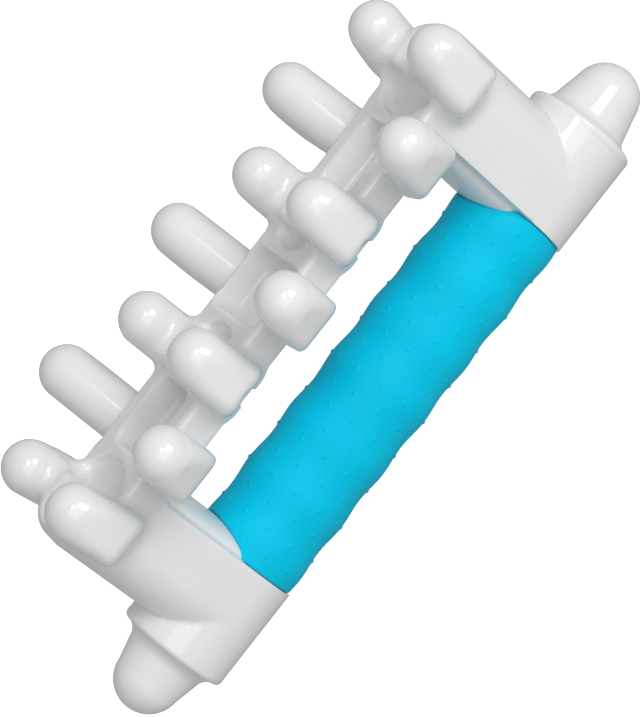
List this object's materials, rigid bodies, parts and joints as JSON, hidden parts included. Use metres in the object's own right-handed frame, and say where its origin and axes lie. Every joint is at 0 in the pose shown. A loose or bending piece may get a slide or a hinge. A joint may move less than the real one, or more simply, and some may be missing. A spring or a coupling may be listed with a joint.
{
  "type": "hand-held claw massager",
  "caption": "Hand-held massage tool: white bar of paired rounded claws on two arms, joined by a ribbed turquoise hand grip, with a round nub at each end of the handle.",
  "frame": {"origin": "below the middle of the handle, on the lowest line of the two handle blocks, midway between front and back", "axes": "+X along the handle, +Y from front to back across the claws, +Z from the handle to the claw tips"},
  "size_m": [0.2244, 0.0888, 0.0843],
  "materials": {
    "white_plastic": "glossy moulded white",
    "grip_silicone": "satin turquoise silicone with fine raised dots",
    "tube_aluminium": "drawn, satin",
    "plug_nylon": "moulded black",
    "fastener_steel": "zinc plated"
  },
  "bodies": {
    "root": {"claw_frame": "white_plastic", "grip_sleeve": "grip_silicone", "handle_tube": "tube_aluminium", "tie_rod": "fastener_steel", "tube_plug_right": "plug_nylon", "tube_plug_left": "plug_nylon", "rod_washer_right": "fastener_steel", "rod_washer_left": "fastener_steel", "rod_nut_right": "fastener_steel", "rod_nut_left": "fastener_steel", "end_nub_right": "white_plastic", "end_nub_left": "white_plastic"}
  },
  "joints": []
}
